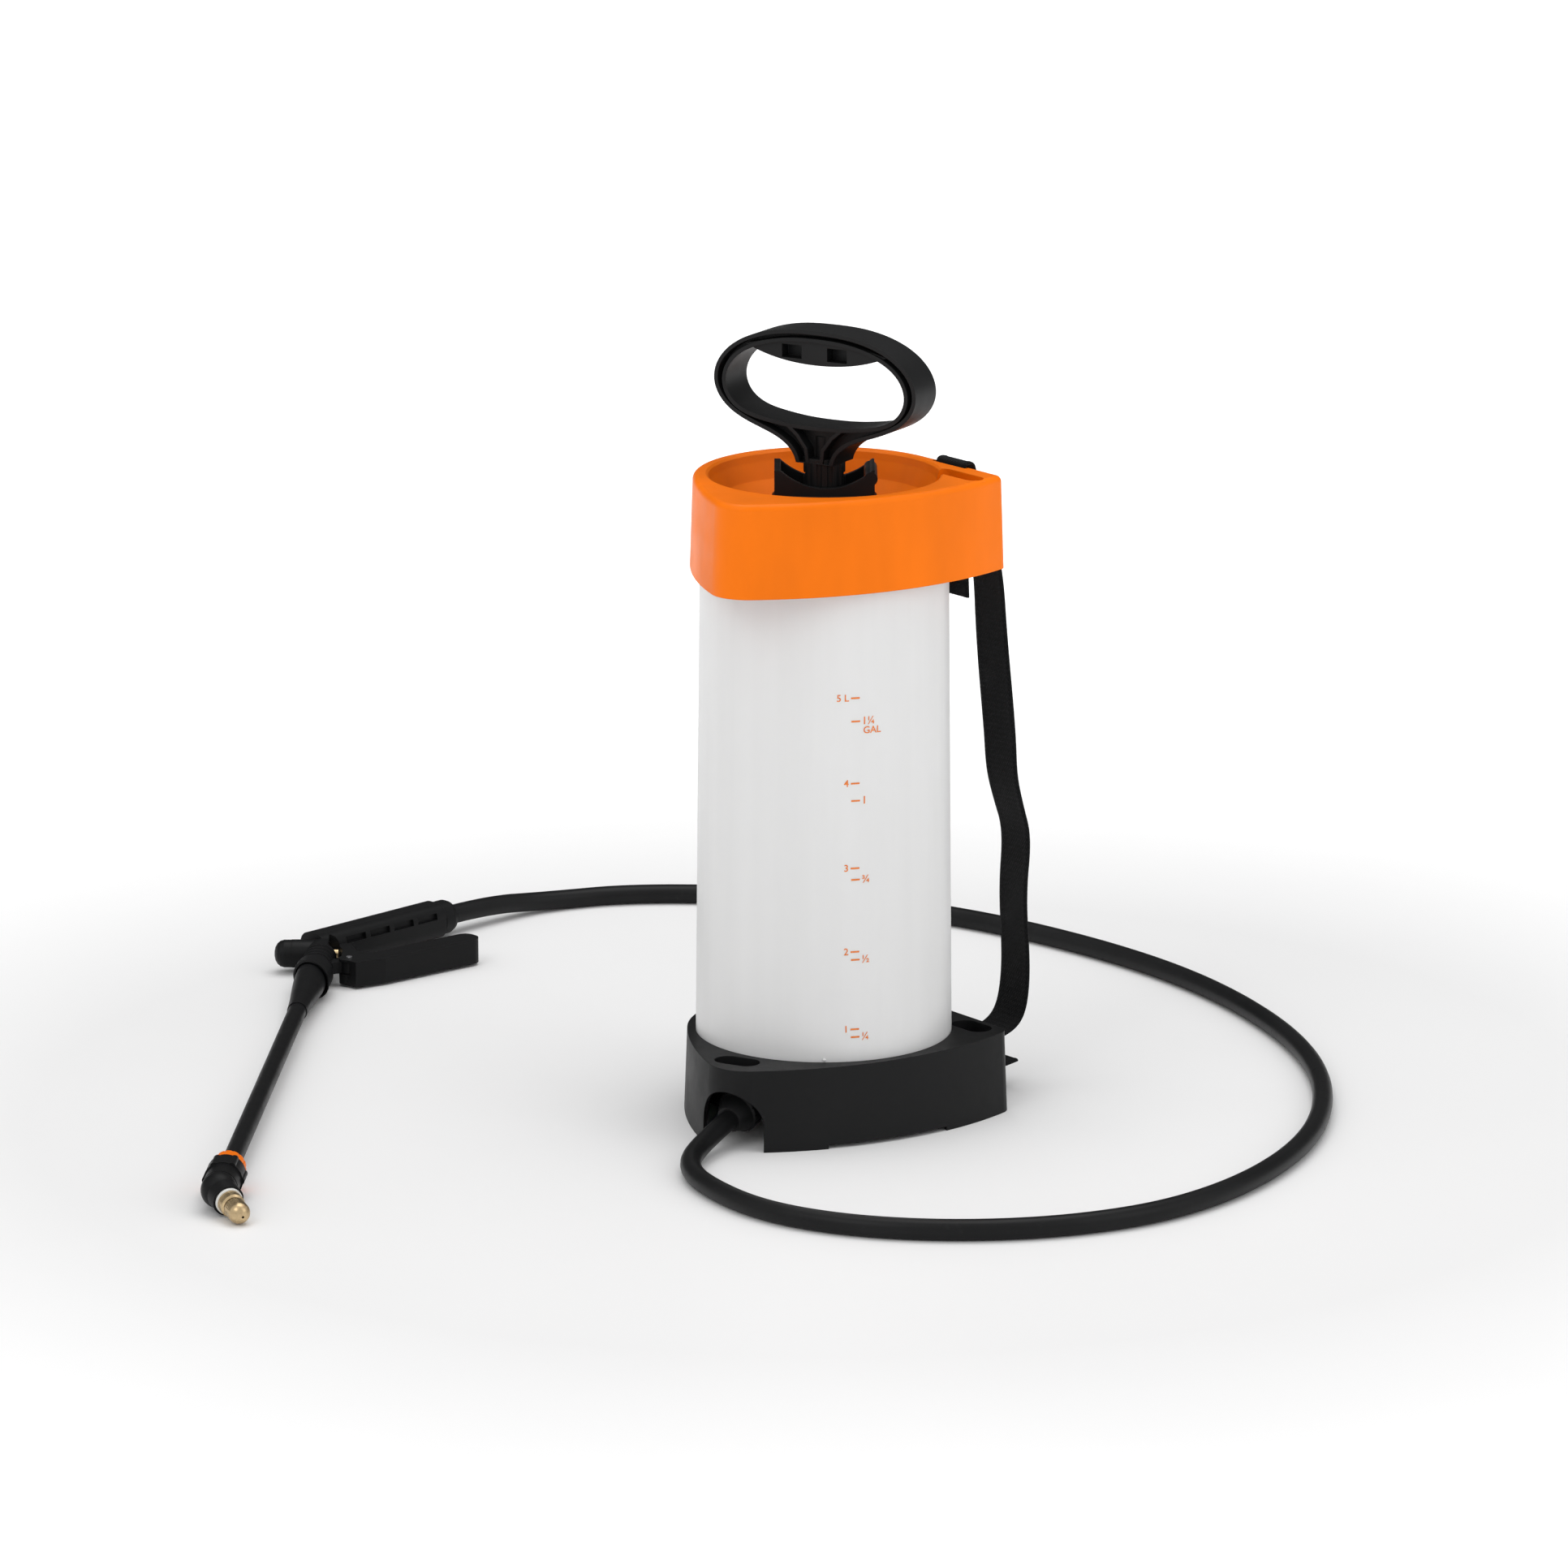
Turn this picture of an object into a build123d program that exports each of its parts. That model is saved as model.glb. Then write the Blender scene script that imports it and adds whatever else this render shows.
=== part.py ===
"""Hand-pumped pressure sprayer: tank, funnel collar, base, pump, hose and spray gun.

Units are millimetres. +Z is up, the floor is Z = 0 and the Z axis is the tank's axis.
-Y is the side that carries the volume scale. The spray gun lies on the floor beside the tank.
"""
from build123d import *
from math import cos, radians, sin, tan
import os

os.makedirs("parts", exist_ok=True)

# ---------------------------------------------------------------- driving dimensions
# Plan outline that the base and the collar share: a round body with two ears
BODY_RADIUS = 86
HOSE_EAR = (-64.5, -101.5)
LANCE_EAR = (116, -8)
HOSE_EAR_ROUNDING = 26
LANCE_EAR_ROUNDING = 10
FRONT_BULGE = (43.5, -75.3)
SIDE_BULGE = (-81, -48)
BACK_WALL_HEADING = 39

# Base
BASE_HEIGHT = 52
BASE_FLARE = 2
BASE_WALL = 3
TANK_SEAT = 18
FOOT_RELIEF = 2.6
ARCH_HEADING = -122
ARCH_INNER_RADIUS = 66
ARCH_WIDTH = 45
ARCH_HEIGHT = 37.5

# Tank
TANK_FOOT_RADIUS = 80.5
TANK_TOP_RADIUS = 77.4
TANK_WALL = 3
SHOULDER_Z = 358
NECK_RADIUS = 29
NECK_BORE = 25.5
NECK_TOP = 381

# Funnel collar
COLLAR_BOTTOM = 350
COLLAR_TOP = 408.5
COLLAR_INSET = 2.5
COLLAR_DRAFT = 2
COLLAR_WALL = 2.5
RIM_THICK = 4.5
BOWL_RADIUS = 72
BOWL_HOLE = 34

# Pump
HEAD_RADIUS = 32.5
HEAD_TOP = 397
HEAD_CEILING = 384.2
BARREL_RADIUS = 17
BARREL_BORE = 15.2
BARREL_BOTTOM = 89.5
ROD_RADIUS = 6
RUNNING = 0.05

# Handle, in its own upright plane
HANDLE_HEADING = -120
HANDLE_DEPTH = 26
HANDLE_TOP = 499.5
STEM_HALF = 13
STEM_FOOT = 400
BOSS_TOP = 416
HANDLE_RIM = 2.5
OUTLINE_STEPS = 40
HANDLE_GROOVE = 8

# Outlet, where the hose leaves the tank
OUTLET_HEADING = -124
OUTLET_TILT = 15
OUTLET_START_RADIUS = 80
OUTLET_START_Z = 24
HOSE_NUT_END = 27
HOSE_RADIUS = 6.5
HOSE_REST_Z = 6.6

# Spray gun and lance, lying flat on the floor
GUN_Z = 13
GRIP_HEADING = 46
GRIP_END = (-253, 409.5, GUN_Z)
LANCE_HEADING = -93.5
LANCE_START = (-333.6, 312, GUN_Z)
NOZZLE_HEADING = -64
NOZZLE_TILT = 10
LANCE_RADIUS = 6
HOOD_MOUTH = 73
LANCE_END = 508
ELBOW_START = 497.3
ELBOW_BEND = 535
LEVER_PIVOT = (-314, 280)
LEVER_LOW = 2
LEVER_HIGH = 19

# Strap
STRAP_WIDTH = 28
STRAP_THICK = 1.6
STRAP_CENTRE = 30


# ---------------------------------------------------------------- helpers
def heading(angle, tilt=0):
    """Unit vector along a compass angle in the floor plane, sloping down by tilt degrees."""
    flat = cos(radians(tilt))
    return Vector(flat * cos(radians(angle)), flat * sin(radians(angle)), -sin(radians(tilt)))


def axis_plane(point, direction):
    """Work plane at a point, facing along a direction, with its local x level."""
    level = Vector(0, 0, 1).cross(direction).normalized()
    return Plane(origin=point, x_dir=level, z_dir=direction)


def turn(place, points, mode=Mode.ADD):
    """Revolve a closed outline of (radius, distance along the axis) points about a plane's normal."""
    side = Plane(origin=place.origin, x_dir=place.x_dir, z_dir=-place.y_dir)
    with BuildSketch(side) as profile:
        with BuildLine():
            Polyline(*points, close=True)
        make_face()
    revolve(profile.sketch, axis=Axis(place.origin, place.z_dir), mode=mode)


def ring_points(inner, outer, start, end):
    """Closed outline of a plain ring for turn()."""
    return [(inner, start), (outer, start), (outer, end), (inner, end)]


def disc_points(radius, start, end):
    """Closed outline of a plain solid disc for turn()."""
    return ring_points(0, radius, start, end)


def plan_face(place, grow):
    """Shared plan outline on a level plane, grown or shrunk evenly."""
    back = BODY_RADIUS * heading(BACK_WALL_HEADING)
    with BuildSketch(place) as plan:
        with BuildLine():
            ThreePointArc((-BODY_RADIUS, 0), (0, BODY_RADIUS), (back.X, back.Y))
            Line((back.X, back.Y), LANCE_EAR)
            ThreePointArc(LANCE_EAR, FRONT_BULGE, HOSE_EAR)
            ThreePointArc(HOSE_EAR, SIDE_BULGE, (-BODY_RADIUS, 0))
        make_face()
        corners = vertices().sort_by_distance(Vector(*HOSE_EAR))
        fillet(corners[0], HOSE_EAR_ROUNDING)
        corners = vertices().sort_by_distance(Vector(*LANCE_EAR))
        fillet(corners[0], LANCE_EAR_ROUNDING)
        if grow != 0:
            offset(amount=grow, kind=Kind.INTERSECTION, mode=Mode.REPLACE)
    return plan.sketch


def skirt(low, high, grow_low, grow_high, mode):
    """Solid between two levels whose plan outline shrinks evenly on the way up."""
    outlines = [plan_face(Plane.XY.offset(low), grow_low), plan_face(Plane.XY.offset(high), grow_high)]
    loft(outlines, mode=mode)


def oval(place, length, width, angle, centre):
    """Round-ended slot outline on a level plane."""
    with BuildSketch(place) as slot:
        with Locations(Location((centre[0], centre[1], 0), (0, 0, angle))):
            SlotOverall(length, width)
    return slot.sketch


def radial_box(angle, near, far, width, low, high, mode):
    """Box that runs outward from the tank's axis along a compass angle."""
    with BuildSketch(Plane.XY.offset(low)) as footprint:
        with Locations(Location((0, 0, 0), (0, 0, angle))):
            with Locations(((near + far) / 2, 0)):
                Rectangle(far - near, width)
    extrude(footprint.sketch, amount=high - low, mode=mode)


ORIGIN_UP = Plane(origin=(0, 0, 0), x_dir=(1, 0, 0), z_dir=(0, 0, 1))
OUTLET = axis_plane(
    OUTLET_START_RADIUS * heading(OUTLET_HEADING) + Vector(0, 0, OUTLET_START_Z),
    heading(OUTLET_HEADING, OUTLET_TILT),
)
GRIP = axis_plane(Vector(*GRIP_END), -heading(GRIP_HEADING))
LANCE = axis_plane(Vector(*LANCE_START), heading(LANCE_HEADING))
VALVE_BORE = axis_plane(Vector(*LANCE_START), Vector(-1, 0, 0))
BEND = axis_plane(LANCE.origin + ELBOW_BEND * LANCE.z_dir, heading(NOZZLE_HEADING, NOZZLE_TILT))
BACK_OUT = heading(BACK_WALL_HEADING)
BACK_ALONG = heading(BACK_WALL_HEADING - 90)


def back_wall_point(outward, along):
    """Point in plan, measured outward from the axis and along the straight back wall."""
    spot = outward * BACK_OUT + along * BACK_ALONG
    return (spot.X, spot.Y)


# ---------------------------------------------------------------- tank and what is fixed to it
with BuildPart() as tank:
    wall_low = TANK_FOOT_RADIUS - TANK_WALL
    wall_high = TANK_TOP_RADIUS - TANK_WALL
    turn(ORIGIN_UP, [
        (0, TANK_SEAT), (72, TANK_SEAT), (TANK_FOOT_RADIUS, 26), (TANK_FOOT_RADIUS, 54),
        (TANK_TOP_RADIUS, SHOULDER_Z), (75, 363), (70, 366.5), (40, 369.5), (NECK_RADIUS, 370.5),
        (NECK_RADIUS, NECK_TOP), (NECK_BORE, NECK_TOP), (NECK_BORE, 367.5), (40, 366.4), (69, 363.5),
        (72.5, 361), (wall_high, SHOULDER_Z - 2), (wall_low, 54), (wall_low, 27.5), (71, 21.5), (0, 21.5),
    ])
    with BuildSketch(OUTLET.offset(-7)):
        Circle(12.3)
    extrude(amount=11)
    with BuildSketch(OUTLET.offset(-7)):
        Circle(7 + RUNNING)
    extrude(amount=11, mode=Mode.SUBTRACT)
    turn(OUTLET, disc_points(6, -17, -6.9), mode=Mode.SUBTRACT)

with BuildPart() as outlet_gasket:
    turn(OUTLET, ring_points(7.2, 12, 4, 5.5))

with BuildPart() as outlet_spigot:
    turn(OUTLET, [
        (3.5, -16), (5.5, -16), (5.5, -7), (7, -7), (7, 5.5), (12, 5.5), (12, 9), (7, 9), (7, 22),
        (3.5, 22),
    ])

with BuildPart() as outlet_strainer:
    turn(OUTLET, [
        (2.6, -13), (3.45, -13), (3.45, -16.05), (5.5, -16.05), (5.5, -27), (0, -27), (0, -25.8),
        (4.4, -25.8), (4.4, -17.2), (2.6, -17.2),
    ])
    for level in (-24.6, -21.8, -19):
        with BuildSketch(OUTLET.offset(level)):
            with PolarLocations(5, 8):
                Rectangle(3, 1.4)
        extrude(amount=1.6, mode=Mode.SUBTRACT)

with BuildPart() as hose_nut:
    turn(OUTLET, [
        (7.1, 9.2), (13.2, 9.2), (13.8, 10), (13.8, 17), (12.4, 18.2), (8.2, HOSE_NUT_END),
        (3.5, HOSE_NUT_END), (3.5, 22.2), (7.1, 22.2),
    ])
    with BuildSketch(OUTLET.offset(9)):
        with PolarLocations(14.2, 16):
            Circle(0.9)
    extrude(amount=8.5, mode=Mode.SUBTRACT)

# Base: one moulding with a seat for the tank, two pockets, a hose arch and a strap bar
LANCE_POCKET = back_wall_point(73, 58)
HOSE_POCKET = (-54, -78)
STRAP_BAR_OUT = 97
STRAP_BAR_Z = 27
with BuildPart() as base:
    skirt(0, BASE_HEIGHT, BASE_FLARE, 0, Mode.ADD)
    skirt(0, BASE_HEIGHT - BASE_WALL, BASE_FLARE - BASE_WALL, -BASE_WALL, Mode.SUBTRACT)
    turn(ORIGIN_UP, [
        (58, TANK_SEAT - 3), (83.6, TANK_SEAT - 3), (83.6, BASE_HEIGHT - 1), (80.9, BASE_HEIGHT - 1),
        (80.9, TANK_SEAT), (58, TANK_SEAT),
    ])
    extrude(oval(Plane.XY.offset(20), 34, 21, BACK_WALL_HEADING - 90, LANCE_POCKET), amount=BASE_HEIGHT - 20)
    extrude(oval(Plane.XY.offset(39), 34, 22, -28, HOSE_POCKET), amount=BASE_HEIGHT - 39)
    turn(ORIGIN_UP, disc_points(TANK_FOOT_RADIUS + 0.4, TANK_SEAT, BASE_HEIGHT + 1), mode=Mode.SUBTRACT)
    extrude(oval(Plane.XY.offset(22), 30, 17, BACK_WALL_HEADING - 90, LANCE_POCKET), amount=BASE_HEIGHT,
            mode=Mode.SUBTRACT)
    extrude(oval(Plane.XY.offset(42), 30, 17, -28, HOSE_POCKET), amount=BASE_HEIGHT, mode=Mode.SUBTRACT)
    arch = axis_plane(ARCH_INNER_RADIUS * heading(ARCH_HEADING), heading(ARCH_HEADING))
    with BuildSketch(arch):
        with Locations((0, ARCH_HEIGHT - ARCH_WIDTH / 2)):
            Circle(ARCH_WIDTH / 2)
        with Locations((0, (ARCH_HEIGHT - ARCH_WIDTH / 2) / 2)):
            Rectangle(ARCH_WIDTH, ARCH_HEIGHT - ARCH_WIDTH / 2)
    extrude(amount=70, mode=Mode.SUBTRACT)
    for side, relief_width in ((-62, 84), (20, 70)):
        radial_box(side, 70, 140, relief_width, 0, FOOT_RELIEF, Mode.SUBTRACT)
    strap_bar = Plane(
        origin=STRAP_BAR_OUT * BACK_OUT + (STRAP_CENTRE - 20) * BACK_ALONG + Vector(0, 0, STRAP_BAR_Z),
        x_dir=(0, 0, 1),
        z_dir=BACK_ALONG,
    )
    with BuildSketch(strap_bar):
        Circle(2.5)
    extrude(amount=40)
    for lug in (-20, 16):
        with BuildSketch(Plane.XY.offset(STRAP_BAR_Z - 4)):
            with Locations(Location((0, 0, 0), (0, 0, BACK_WALL_HEADING))):
                with Locations(((85 + 100) / 2, -(STRAP_CENTRE + lug + 2))):
                    Rectangle(15, 4)
        extrude(amount=8)

# Funnel collar: skirt with the same plan as the base, and a round bowl down to the tank's neck
LANCE_HOLE = back_wall_point(60, 57)
with BuildPart() as funnel_collar:
    skirt(COLLAR_BOTTOM, COLLAR_TOP, -COLLAR_INSET, -COLLAR_INSET - COLLAR_DRAFT, Mode.ADD)
    top_rim = funnel_collar.faces().sort_by(Axis.Z)[-1].edges()
    fillet(top_rim, 4)
    skirt(COLLAR_BOTTOM, COLLAR_TOP - RIM_THICK, -COLLAR_INSET - COLLAR_WALL,
          -COLLAR_INSET - COLLAR_WALL - COLLAR_DRAFT, Mode.SUBTRACT)
    turn(ORIGIN_UP, [
        (BOWL_HOLE, 374.5), (BOWL_HOLE, 372), (41, 373.5), (57, 381), (67.5, 391), (75, 404.2),
        (75, 406), (69, 404),
    ])
    for rib in (75, 100, 125, 150, 175, 200):
        radial_box(rib, TANK_TOP_RADIUS + 0.8, 81, 2, COLLAR_BOTTOM + 1, COLLAR_TOP - 4, Mode.ADD)
    for rib in (-78, -62, -46):
        radial_box(rib, TANK_TOP_RADIUS + 0.8, 82.6, 2, COLLAR_BOTTOM + 1, COLLAR_TOP - 4, Mode.ADD)
    extrude(oval(Plane.XY.offset(388), 46, 16, BACK_WALL_HEADING - 90, LANCE_HOLE), amount=COLLAR_TOP - 389)
    turn(ORIGIN_UP, [
        (0, 360), (BOWL_HOLE, 360), (BOWL_HOLE, 374.4), (41, 376.2), (56, 383.2), (65.5, 392.4),
        (70.6, 403), (BOWL_RADIUS, 407.3), (BOWL_RADIUS + 1.6, COLLAR_TOP), (BOWL_RADIUS + 1.6, 412),
        (0, 412),
    ], mode=Mode.SUBTRACT)
    extrude(oval(Plane.XY.offset(380), 42, 12.6, BACK_WALL_HEADING - 90, LANCE_HOLE), amount=40,
            mode=Mode.SUBTRACT)
    with BuildSketch(Plane.XY.offset(400)):
        with Locations(Location((0, 0, 0), (0, 0, BACK_WALL_HEADING))):
            with Locations((76.8, -STRAP_CENTRE)):
                SlotOverall(STRAP_WIDTH + 5, 4, rotation=90)
    extrude(amount=20, mode=Mode.SUBTRACT)

with BuildPart() as funnel_seal:
    turn(ORIGIN_UP, ring_points(NECK_RADIUS + 0.05, BOWL_HOLE - 0.05, 371, 374))

# ---------------------------------------------------------------- pump
RELIEF_SPOT = (0, 22.5)
with BuildPart() as pump_head:
    turn(ORIGIN_UP, [
        (NECK_RADIUS + 0.5, 375), (HEAD_RADIUS, 375), (HEAD_RADIUS, 394.5), (HEAD_RADIUS - 2.5, HEAD_TOP),
        (9.1, HEAD_TOP), (9.1, 388), (7, 388), (7, HEAD_CEILING), (NECK_RADIUS + 0.5, HEAD_CEILING),
    ])
    with BuildSketch(Plane.XY.offset(HEAD_TOP - 0.5)):
        Rectangle(62, 36)
        Rectangle(54, 29, mode=Mode.SUBTRACT)
    extrude(amount=17)
    saddle = Plane.XZ.offset(-30)
    with BuildSketch(saddle):
        with Locations((1, 443)):
            Circle(41)
    extrude(amount=60, mode=Mode.SUBTRACT)
    with BuildSketch(Plane.XZ.offset(-18)):
        with Locations((28.6, 408)):
            Circle(4.2)
    extrude(amount=36)
    with BuildSketch(Plane.XY.offset(HEAD_CEILING)):
        with Locations(RELIEF_SPOT):
            Circle(4 + RUNNING)
    extrude(amount=20, mode=Mode.SUBTRACT)
    with BuildSketch(Plane.XY.offset(376)):
        with PolarLocations(HEAD_RADIUS + 0.6, 24):
            Circle(1.2)
    extrude(amount=17, mode=Mode.SUBTRACT)

with BuildPart() as pump_gasket:
    turn(ORIGIN_UP, ring_points(NECK_BORE + 0.1, 28.6, NECK_TOP, NECK_TOP + 1.2))

with BuildPart() as pump_barrel:
    flange = NECK_TOP + 1.2
    turn(ORIGIN_UP, [
        (BARREL_BORE, BARREL_BOTTOM), (BARREL_RADIUS, BARREL_BOTTOM), (BARREL_RADIUS, flange),
        (28.6, flange), (28.6, HEAD_CEILING), (BARREL_BORE, HEAD_CEILING),
    ])
    with BuildSketch(Plane.XY.offset(flange)):
        with Locations(RELIEF_SPOT):
            Circle(1.5)
    extrude(amount=5, mode=Mode.SUBTRACT)

with BuildPart() as rod_bush:
    turn(ORIGIN_UP, ring_points(ROD_RADIUS + RUNNING, 9, 390, HEAD_TOP))

with BuildPart() as rod_wiper:
    turn(ORIGIN_UP, ring_points(ROD_RADIUS + RUNNING, 9, 388, 390))

with BuildPart() as foot_plug:
    turn(ORIGIN_UP, [
        (0, 84), (BARREL_RADIUS, 84), (BARREL_RADIUS, BARREL_BOTTOM), (BARREL_BORE, BARREL_BOTTOM),
        (BARREL_BORE, 93), (0, 93),
    ])
    turn(ORIGIN_UP, [(0, 79), (4, 79), (4, 80.5), (2.5, 81.7), (2.5, 84), (0, 84)])
    with BuildSketch(Plane.XY.offset(83)):
        with PolarLocations(8, 5):
            Circle(1.8)
    extrude(amount=12, mode=Mode.SUBTRACT)

with BuildPart() as check_valve:
    turn(ORIGIN_UP, ring_points(2.6, 12, 81.9, 83.9))

with BuildPart() as piston:
    turn(ORIGIN_UP, [
        (4 + RUNNING, 98.1), (14.6, 98.1), (BARREL_BORE - RUNNING, 99), (BARREL_BORE - RUNNING, 102),
        (12.6, 102), (12.6, 106), (BARREL_BORE - RUNNING, 106), (BARREL_BORE - RUNNING, 109),
        (14.6, 110), (4 + RUNNING, 110),
    ])

with BuildPart() as piston_seal:
    turn(ORIGIN_UP, ring_points(12.7, BARREL_BORE - RUNNING, 102.1, 105.9))

with BuildPart() as piston_rod:
    turn(ORIGIN_UP, [(0, 94), (4, 94), (4, 110.1), (ROD_RADIUS, 110.1), (ROD_RADIUS, 432), (0, 432)])
    with BuildSketch(Plane.YZ.offset(-10)):
        with Locations((0, 408)):
            Circle(2)
    extrude(amount=20, mode=Mode.SUBTRACT)

with BuildPart() as piston_nut:
    with BuildSketch(Plane.XY.offset(94.2)):
        RegularPolygon(7.5, 6)
        Circle(4, mode=Mode.SUBTRACT)
    extrude(amount=3.8)

# Handle: a closed loop on a fluted stem, hollowed on both faces so that thin rims stand round it
HANDLE_FACE = Plane(
    origin=(0, 0, 0),
    x_dir=heading(HANDLE_HEADING + 90),
    z_dir=heading(HANDLE_HEADING),
)


def mirrored(half):
    """Points of one half of a shape followed by their mirror images, back down the other side."""
    return half + [(-across, up) for across, up in reversed(half) if across > 0]


def moved_left(curve, distance):
    """Points along a curve, each moved square to the left of the way it runs."""
    moved = []
    for step in range(OUTLINE_STEPS + 1):
        along = curve % (step / OUTLINE_STEPS)
        moved.append(curve @ (step / OUTLINE_STEPS) + distance * Vector(-along.Y, along.X))
    return moved


def handle_outline(inset):
    """Loop and stem, seen square on, with its sides shrunk by an inset."""
    flank = Spline(*mirrored([
        (STEM_HALF, BOSS_TOP), (15.5, 422), (22.5, 428.5), (36, 434.5), (53, 441), (66, 450.5),
        (71.5, 463), (68.8, 474.5), (58.6, 485.8), (39.5, 494.9), (20, 498.7), (0, HANDLE_TOP),
    ]), mode=Mode.PRIVATE)
    with BuildSketch() as face:
        with BuildLine():
            side = Spline(*moved_left(flank, inset))
            Line(side @ 1, side @ 0)
        make_face()
    return face.sketch


def handle_opening(outset):
    """Opening for the fingers, grown by an outset; the grip pad under its top edge comes later."""
    rim = Spline(*mirrored([
        (0, 439.5), (17, 440), (34, 442), (50, 446), (60, 453.5), (63.2, 463.5), (59, 474.5),
        (48.5, 483), (33.5, 488.5), (17, 491.3), (0, 492),
    ]), periodic=True, mode=Mode.PRIVATE)
    with BuildSketch() as face:
        with BuildLine():
            Spline(*moved_left(rim, -outset)[:-1], periodic=True)
        make_face()
    return face.sketch


def handle_pocket():
    """Sunk area of one face: the loop and stem inset by the rim, with two flared ribs left in it."""
    with BuildSketch() as face:
        add(handle_outline(HANDLE_RIM))
        add(handle_opening(HANDLE_RIM), mode=Mode.SUBTRACT)
        for side in (-1, 1):
            with BuildLine() as rib:
                Polyline((side * 4.8, BOSS_TOP), (side * 6, 425), (side * 12, 433), (side * 23, 442))
            trace(rib.edges(), line_width=2.2, mode=Mode.SUBTRACT)
    return face.sketch


with BuildPart() as handle:
    with BuildSketch(HANDLE_FACE):
        add(handle_outline(0))
        add(handle_opening(0), mode=Mode.SUBTRACT)
    extrude(amount=HANDLE_DEPTH / 2, both=True)
    with BuildSketch(HANDLE_FACE.offset(HANDLE_DEPTH / 2 - HANDLE_GROOVE)):
        add(handle_pocket())
    extrude(amount=HANDLE_GROOVE, mode=Mode.SUBTRACT)
    with BuildSketch(HANDLE_FACE.offset(-HANDLE_DEPTH / 2)):
        add(handle_pocket())
    extrude(amount=HANDLE_GROOVE, mode=Mode.SUBTRACT)
    with BuildSketch(HANDLE_FACE.offset(-11)):
        with BuildLine():
            Spline((-50, 487), (-30, 480.6), (0, 477.6), (30, 480.6), (50, 487))
            Line((50, 487), (36, 490.5))
            ThreePointArc((36, 490.5), (0, 493), (-36, 490.5))
            Line((-36, 490.5), (-50, 487))
        make_face()
    extrude(amount=22)
    for left in (-24, 8):
        with BuildSketch(HANDLE_FACE.offset(3)):
            with Locations((left + 7, 485)):
                Rectangle(14, 8.4)
        extrude(amount=9, mode=Mode.SUBTRACT)
    turn(ORIGIN_UP, disc_points(STEM_HALF, STEM_FOOT, BOSS_TOP + 3))
    with BuildSketch(Plane.XY.offset(STEM_FOOT)):
        with PolarLocations(STEM_HALF + 0.6, 12, start_angle=15):
            Circle(2)
    extrude(amount=BOSS_TOP - STEM_FOOT, mode=Mode.SUBTRACT)
    with BuildSketch(Plane.XY.offset(STEM_FOOT)):
        Circle(ROD_RADIUS + 0.01)
    extrude(amount=432 - STEM_FOOT, mode=Mode.SUBTRACT)
    with BuildSketch(Plane.YZ.offset(-15)):
        with Locations((0, 408)):
            Circle(2)
    extrude(amount=30, mode=Mode.SUBTRACT)

with BuildPart() as handle_pin:
    with BuildSketch(Plane.YZ.offset(-11.5)):
        with Locations((0, 408)):
            Circle(1.97)
    extrude(amount=23)

# Pressure relief valve in the pump head
RELIEF = Plane(origin=(RELIEF_SPOT[0], RELIEF_SPOT[1], 0), x_dir=(1, 0, 0), z_dir=(0, 0, 1))
with BuildPart() as relief_body:
    turn(RELIEF, [
        (1.5, 385), (4, 385), (4, HEAD_TOP), (4.5, HEAD_TOP), (4.5, 404), (3.2, 404), (3.2, 390), (1.5, 390),
    ])

with BuildPart() as relief_cap:
    turn(RELIEF, ring_points(1.55, 3.17, 402, 404))

with BuildPart() as relief_seal:
    turn(RELIEF, disc_points(2.9, 390.05, 390.9))

with BuildPart() as relief_knob:
    turn(RELIEF, [
        (0, 391), (2.9, 391), (2.9, 392), (1.5, 392), (1.5, 404.4), (4, 404.4), (5.2, 405.5),
        (5.2, 410.5), (4.2, 411.5), (0, 411.5),
    ])
    with BuildSketch(Plane.XY.offset(405)):
        with Locations(RELIEF_SPOT):
            with PolarLocations(5.5, 10):
                Circle(0.6)
    extrude(amount=7, mode=Mode.SUBTRACT)

with BuildPart() as relief_spring:
    with BuildLine():
        coil = Helix(pitch=2.2, height=8.8, radius=2.35, center=(RELIEF_SPOT[0], RELIEF_SPOT[1], 392.6))
    with BuildSketch(Plane(origin=coil @ 0, z_dir=coil % 0)):
        Circle(0.35)
    sweep(is_frenet=True)

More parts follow.
